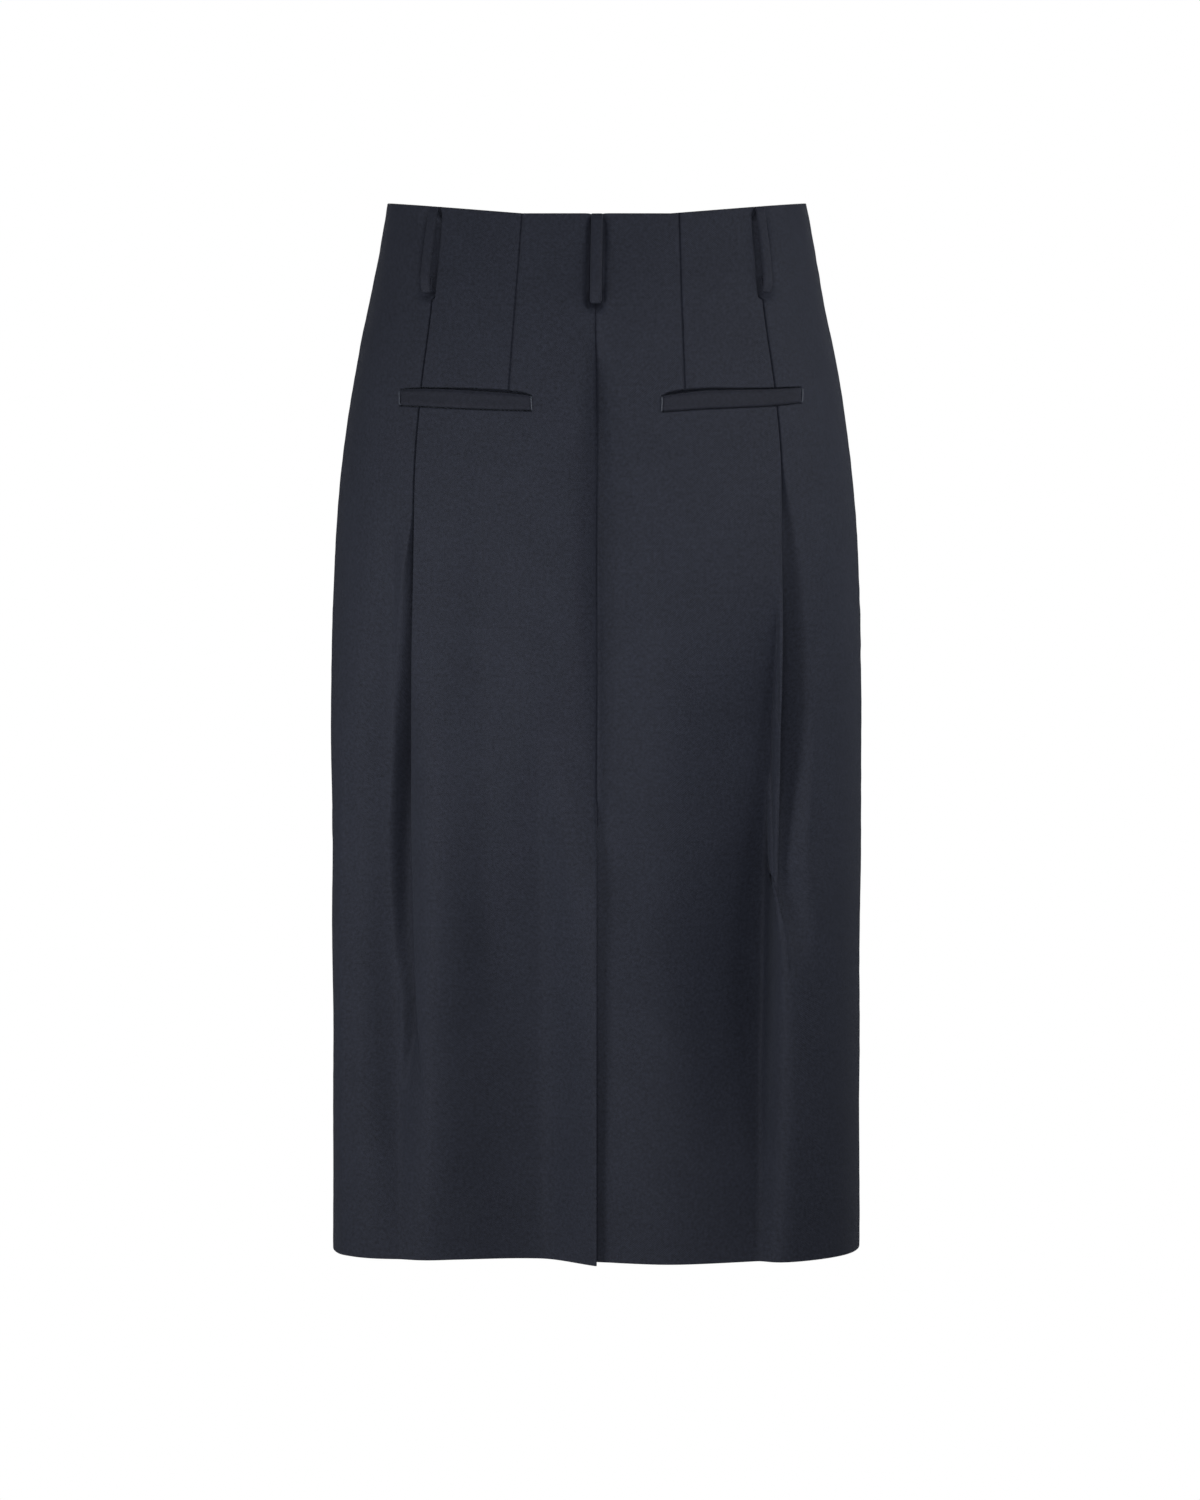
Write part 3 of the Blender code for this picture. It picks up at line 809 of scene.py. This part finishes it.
back_left = back_panel("skirt_back_left", -1)
back_right = back_panel("skirt_back_right", 1)
for panel, node, width in ((back_left, "back_left", 0.29), (back_right, "back_right", 0.33)):
    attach(panel, "root")
    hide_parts(node)


# ---- The front panel -----------------------------------------------------------------------------
# The front is one panel of the same twill from side seam to side seam, sewn to the two backs. It is
# plain, and hangs in the same soft, uneven folds.

FRONT_FOLDS = [
    Fold(-0.070, -0.20, -0.086, -0.74, 0.032, 0.040, 0.0045, 1.6),
    Fold(0.082, -0.28, 0.070, -0.76, 0.036, 0.030, 0.0050, 1.6),
    Fold(0.000, -0.38, 0.006, -0.76, 0.030, 0.030, -0.0025, 2.0),
]
FRONT_WAVES = waves(14, longest=0.120, shortest=0.035, steep=2.5)
FRONT_ROWS = np.concatenate([
    WAIST_ROWS,
    even_rows(WAIST_ROWS[-1], HEM_ROWS[0])[:-1],
    HEM_ROWS,
])

halves = []
for side in (-1, 1):
    seam = side_seam(FRONT_ROWS, "front", side)
    along = spread(seam, 0 * seam, count=95, tight=0.6)
    # The points on the centre line belong to the right half.
    along = along[:, :-1] if side < 0 else along[:, ::-1]
    height = np.broadcast_to(FRONT_ROWS[:, None], along.shape)
    points, outward = cloth_at(height, "front", side, along, 0.0, FRONT_FOLDS)
    from_side = seam[:, None] - along
    relief = WAVINESS * waved(points[..., 0], height, FRONT_WAVES)
    relief -= SEAM_DEPTH * bell(from_side, SEAM_ROUND)
    pucker = PUCKER * waved(points[..., 0], height, PUCKER_WAVES)
    relief += pucker * np.exp(-from_side / SIDE_PUCKER_REACH)
    halves.append((points, outward, outward * relief[..., None]))
grid, outward, moved = (np.concatenate(parts, axis=1) for parts in zip(*halves))
front = wall("skirt_front", grid, outward, moved, CLOTH, skirt_twill)
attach(front, "root")
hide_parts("front")


# ---- The pocket welts ----------------------------------------------------------------------------
# Each pocket's mouth is closed by a doubled strip of the twill, folded along its top edge and sewn
# in along the bottom, which stands just proud of the panel. A few stitches hold down both ends.

# How thick the strip is and how far it stands proud, how far inside the ends of the mouth it stops,
# and how far above its bottom edge.
WELT_CLOTH = 0.0015
WELT_PROUD = 0.00035
WELT_INSET = 0.0003
WELT_RAISED = 0.0002
WELT_COLUMNS = 61
# How far down the strip its rows lie, closer at its two edges.
WELT_ROWS = np.array([0, 0.02, 0.05, 0.1, 0.2, 0.35, 0.5, 0.65, 0.8, 0.9, 0.95, 0.98, 1])[:, None]
# The folded top edge and the sewn bottom one lean in: how far, and over what share of the strip.
TOP_LEAN = 0.0006
TOP_LEAN_AT = 0.02
TOP_LEAN_REACH = 0.06
FOOT_LEAN = 0.0003
FOOT_LEAN_REACH = 0.05
# A few faint creases run along the strip, a little unevenly.
CREASE_DEPTH = 0.00012
CREASES = 1.6
CREASE_STRAY = 0.08
WELT_WAVINESS = 0.0001
# The welts' twill is painted about 0.8 times as light as the panels', as painted shade on the welts
# lying in their recesses.
welt_twill_painted_shade = twill("wool_twill_doubled", (0.0168, 0.0186, 0.0280), contrast=0.9, sheen=0.05)


def pocket_welt(name, side, mouth):
    """The strip between the top and the bottom edge of the pocket's mouth."""
    x = np.linspace(mouth[0].x + WELT_INSET, mouth[-1].x - WELT_INSET, WELT_COLUMNS)[None]
    top = read(mouth, "top", x)
    bottom = read(mouth, "bottom", x) + WELT_RAISED
    height = top + (bottom - top) * WELT_ROWS
    along = along_at(height, "back", side, np.broadcast_to(x, height.shape))
    lift = CLOTH / 2 + WELT_PROUD - WELT_CLOTH / 2
    grid, outward = cloth_at(height, "back", side, along, lift, BACK_FOLDS)
    stray = CREASE_STRAY * waved(x, height, PUCKER_WAVES)
    relief = CREASE_DEPTH * np.sin(2 * math.pi * (CREASES * WELT_ROWS + stray))
    relief -= TOP_LEAN * bell(WELT_ROWS - TOP_LEAN_AT, TOP_LEAN_REACH)
    relief -= FOOT_LEAN * bell(1 - WELT_ROWS, FOOT_LEAN_REACH)
    relief += WELT_WAVINESS * waved(x, height, BACK_WAVES)
    return wall(name, grid, outward, outward * relief[..., None], WELT_CLOTH, welt_twill_painted_shade)


for side, mouth, word in ((-1, MOUTH_LEFT, "left"), (1, MOUTH_RIGHT, "right")):
    welt = pocket_welt("welt_" + word, side, mouth)
    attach(welt, "root")
    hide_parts("pocket_welt_" + word)


# ---- The bar tacks -------------------------------------------------------------------------------
# A few passes of paler thread, sewn up and down across each end of the welts, hold down the ends of
# the pockets' mouths.

THREAD_RADIUS = 0.00016
THREAD_SIDES = 6
TACK_OUTSIDE = 0.0003
TACK_POINTS = 15
# Where the strands lie, side by side. Each starts a little above the welt and ends a little below
# it, the next one lower, and bows to one side. It lies just clear of the welt, flat for most of its
# length, and dips in at both ends, both in radii of the thread.
STRANDS = (-0.00035, 0.0, 0.0004)
STRAND_ABOVE = 0.0003
STRAND_BELOW = 0.0001
STRAND_UNEVEN = 0.0002
STRAND_BOW = 0.00025
STRAND_LIES = 1.2
STRAND_FLAT = 8
STRAND_DIPS = 5


def tacking_thread():
    """Twisted thread, with lighter and darker bands painted along it as light and shade on the turns of
    its twist.
    """
    material = bpy.data.materials.new("tacking_thread")
    material.use_nodes = True
    nodes = material.node_tree.nodes
    links = material.node_tree.links
    # Painted shade and highlight: the wave's bands stand in for light and shade on the turns of the
    # twist.
    twist = nodes.new("ShaderNodeTexWave")
    twist.inputs["Scale"].default_value = 900
    twist.inputs["Distortion"].default_value = 1.5
    shade = nodes.new("ShaderNodeValToRGB")
    shade.color_ramp.elements[0].color = (0.036, 0.042, 0.058, 1)
    shade.color_ramp.elements[1].color = (0.080, 0.092, 0.122, 1)
    shader = nodes["Principled BSDF"]
    links.new(twist.outputs["Fac"], shade.inputs[0])
    links.new(shade.outputs[0], shader.inputs["Base Color"])
    shader.inputs["Roughness"].default_value = 0.5
    return material


def strand_mesh(path, outward, first):
    """A round strand along a path, closed at both ends: its points, and faces numbered from first."""
    angle = np.arange(THREAD_SIDES)[:, None] * 2 * math.pi / THREAD_SIDES
    sideways = unit(np.cross(outward, (0, 0, 1)))
    ring = np.cos(angle) * sideways[:, None] + np.sin(angle) * outward[:, None]
    points = (path[:, None] + THREAD_RADIUS * ring).reshape(-1, 3)
    index = first + np.arange(len(points)).reshape(len(path), THREAD_SIDES)
    beside = np.roll(index, -1, axis=1)
    around = np.stack([index[:-1], beside[:-1], beside[1:], index[1:]], axis=-1)
    return points, around.reshape(-1, 4).tolist() + [index[0][::-1].tolist(), index[-1].tolist()]


def bar_tack(name, side, x, top, bottom):
    """Strands of thread side by side over the end of a welt, each dipping in at its ends."""
    t = np.linspace(0, 1, TACK_POINTS)
    points = np.zeros((0, 3))
    faces = []
    for strand, offset in enumerate(STRANDS):
        length = top - bottom + STRAND_ABOVE + STRAND_BELOW + STRAND_UNEVEN * strand
        height = top + STRAND_ABOVE - length * t
        strand_x = x + offset + STRAND_BOW * np.sin(math.pi * t + strand)
        along = along_at(height, "back", side, strand_x)
        over_welt = THREAD_RADIUS * (STRAND_LIES - STRAND_DIPS * (2 * t - 1) ** STRAND_FLAT)
        lift = CLOTH / 2 + WELT_PROUD + over_welt
        path, outward = cloth_at(height, "back", side, along, lift, BACK_FOLDS)
        strand_points, strand_faces = strand_mesh(path, outward, len(points))
        points = np.concatenate([points, strand_points])
        faces += strand_faces
    return sewn_piece(name, points, faces, thread)


thread = tacking_thread()
for side, mouth, word in ((-1, MOUTH_LEFT, "left"), (1, MOUTH_RIGHT, "right")):
    for end, outside, place in ((mouth[0], -TACK_OUTSIDE, "inner"), (mouth[-1], TACK_OUTSIDE, "outer")):
        tack = bar_tack("tack_" + word + "_" + place, side, end.x + outside, end.top, end.bottom)
        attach(tack, "root")


# ---- The belt loops ------------------------------------------------------------------------------
# Five strips of doubled twill, sewn at the waist edge and again below with the end folded under.
# Between their sewn ends they stand off the cloth with room for a belt.

loop_twill = twill("wool_twill_loops", (0.0204, 0.0228, 0.0342), contrast=0.9, sheen=0.06)
LOOP_WIDTH = 0.0063
LOOP_CLOTH = 0.0020
LOOP_ROOM = 0.0038
LOOP_TURNED = 0.008
LOOP_BELOW_EDGE = 0.0004
# How far down the strip, and how much of the belt's room is behind it there.
Stand = namedtuple("Stand", "down room")
LOOP_STAND = [
    Stand(0.00, 0.00), Stand(0.05, 0.05), Stand(0.12, 0.22), Stand(0.30, 0.56), Stand(0.50, 0.82),
    Stand(0.70, 0.98), Stand(0.85, 1.00), Stand(0.93, 0.84), Stand(1.00, 0.44),
]
# The seam at the waist edge presses the strip in, over a share of its length.
SEWN_IN = 0.0012
SEWN_REACH = 0.03
STRIP_POINTS = 46
TURN_POINTS = 10
UNDER_POINTS = 6
# Where the points lie across the strip, in half widths. Its edges are pressed lower than its middle,
# less where it lies on the cloth, and the fold rounds the corners of its end.
STRIP_ACROSS = np.array([-1, -0.97, -0.91, -0.82, -0.7, -0.4, 0, 0.4, 0.7, 0.82, 0.91, 0.97, 1])
EDGE_PRESSED = 0.0007
EDGE_ROUND = 6
PRESSED_ON_CLOTH = 0.15
NARROWER_END = 0.16
NARROWS_FROM = 0.965


def loop_path(length):
    """The strip from the waist edge down, round its folded end and back up against the cloth."""
    on_cloth = CLOTH / 2 + SEAM_GAP + LOOP_CLOTH / 2
    radius = LOOP_ROOM * LOOP_STAND[-1].room / 2
    straight = length - radius - LOOP_CLOTH / 2
    down = np.linspace(0, 1, STRIP_POINTS)
    stand = LOOP_ROOM * read(LOOP_STAND, "room", down) - SEWN_IN * bell(down, SEWN_REACH)
    turn = np.linspace(0, math.pi, TURN_POINTS + 1)[1:]
    under = np.linspace(0, LOOP_TURNED, UNDER_POINTS + 1)[1:]
    drop = [down * straight, straight + radius * np.sin(turn), straight - under]
    lift = [on_cloth + stand, on_cloth + radius * (1 + np.cos(turn)), on_cloth + 0 * under]
    return np.concatenate(drop)[:, None], np.concatenate(lift)[:, None]


def belt_loop(loop, folds):
    """A strip that stands off the cloth between its sewn top and its folded end."""
    drop, lift = loop_path(loop.length)
    x = loop.at_waist + (loop.at_end - loop.at_waist) * drop / loop.length
    height = -LOOP_BELOW_EDGE - drop
    middle = np.sign(x) * along_at(height, loop.face, loop.side, np.abs(x))
    at_end = eased((drop / loop.length - NARROWS_FROM) / (1 - NARROWS_FROM))
    along = middle + LOOP_WIDTH / 2 * STRIP_ACROSS * (1 - NARROWER_END * at_end)
    grid, outward = cloth_at(height, loop.face, loop.side, along, lift, folds)
    off_cloth = np.clip((lift - lift[-1]) / LOOP_ROOM * 2, PRESSED_ON_CLOTH, 1)
    relief = -EDGE_PRESSED * np.abs(STRIP_ACROSS) ** EDGE_ROUND * off_cloth
    name = "loop_" + loop.place
    return wall(name, grid, outward, outward * relief[..., None], LOOP_CLOTH, loop_twill)


for place in LOOPS:
    loop = belt_loop(place, BACK_FOLDS if place.face == "back" else FRONT_FOLDS)
    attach(loop, "root")
    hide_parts("belt_loop_" + place.place)


# ---- The studio ----------------------------------------------------------------------------------
# The skirt is in mid air, in the form in which it is worn, well above a plain pale floor. It is seen
# from behind, in soft light from broad lamps.

scene = bpy.context.scene
scene.view_settings.view_transform = "Standard"

FLOOR = -1.25
FLOOR_RADIUS = 1.9
WHITE = (1, 1, 1, 1)


def floor_paper():
    """Pale matt paper, lifted a little by its own faint glow."""
    material = bpy.data.materials.new("floor_paper")
    material.use_nodes = True
    shader = material.node_tree.nodes["Principled BSDF"]
    shader.inputs["Base Color"].default_value = (0.86, 0.86, 0.87, 1)
    shader.inputs["Roughness"].default_value = 0.9
    shader.inputs["Emission Color"].default_value = WHITE
    shader.inputs["Emission Strength"].default_value = 0.14
    return material


bpy.ops.mesh.primitive_circle_add(vertices=128, radius=FLOOR_RADIUS, fill_type="NGON")
floor = bpy.context.object
floor.name = "floor"
floor.location.z = FLOOR
floor.data.materials.append(floor_paper())


def lamp(name, place, target, size, power, beam=180):
    """A broad soft lamp that points at a place; a narrower beam, in degrees, dims it off its axis."""
    light = bpy.data.lights.new(name, "AREA")
    light.shape = "RECTANGLE"
    light.size, light.size_y = size
    light.energy = power
    light.spread = math.radians(beam)
    holder = bpy.data.objects.new(name, light)
    holder.location = place
    toward = np.array(target) - np.array(place)
    tilt = math.atan2(math.hypot(toward[0], toward[1]), -toward[2])
    holder.rotation_euler = (tilt, 0, math.atan2(toward[1], toward[0]) - math.pi / 2)
    scene.collection.objects.link(holder)


CENTRE = (0, 0, -0.30)
lamp("lamp_left", (-1.25, -0.80, -0.34), CENTRE, (0.6, 1.0), 3.0, beam=90)
lamp("lamp_back", (0.10, -1.60, -0.30), CENTRE, (0.9, 0.9), 2.7, beam=72)
lamp("lamp_far_left", (-1.20, 0.00, -0.40), CENTRE, (0.8, 1.0), 0.4)
lamp("lamp_right", (0.85, -0.50, 0.34), (0.10, 0, -0.20), (0.4, 0.4), 0.82, beam=80)
lamp("lamp_far_right", (0.93, -0.02, 0.00), (0.15, 0, -0.30), (0.5, 0.5), 0.5, beam=90)
lamp("lamp_front", (0.0, 3.0, 1.2), CENTRE, (2.4, 1.6), 60)

# The camera sees a white backdrop, which gives hardly any light of its own.
world = bpy.data.worlds.new("studio")
world.use_nodes = True
scene.world = world
tree = world.node_tree
tree.nodes.clear()


def backdrop(strength):
    """White all round, at a strength."""
    node = tree.nodes.new("ShaderNodeBackground")
    node.inputs["Color"].default_value = WHITE
    node.inputs["Strength"].default_value = strength
    return node.outputs[0]


rays = tree.nodes.new("ShaderNodeLightPath")
mix = tree.nodes.new("ShaderNodeMixShader")
sky = tree.nodes.new("ShaderNodeOutputWorld")
tree.links.new(rays.outputs["Is Camera Ray"], mix.inputs[0])
tree.links.new(backdrop(0.01), mix.inputs[1])
tree.links.new(backdrop(1.0), mix.inputs[2])
tree.links.new(mix.outputs[0], sky.inputs["Surface"])

CAMERA_PLACE = (0.0024, -4.79, -0.055)
CAMERA_TARGET_HEIGHT = -0.3757
camera = bpy.data.cameras.new("camera")
camera.lens = 166.9
camera.sensor_width = 36
camera.clip_end = 50
camera_holder = bpy.data.objects.new("camera", camera)
camera_holder.location = CAMERA_PLACE
looks_down = math.atan2(CAMERA_PLACE[2] - CAMERA_TARGET_HEIGHT, -CAMERA_PLACE[1])
camera_holder.rotation_euler = (math.pi / 2 - looks_down, 0, 0)
scene.collection.objects.link(camera_holder)
scene.camera = camera_holder
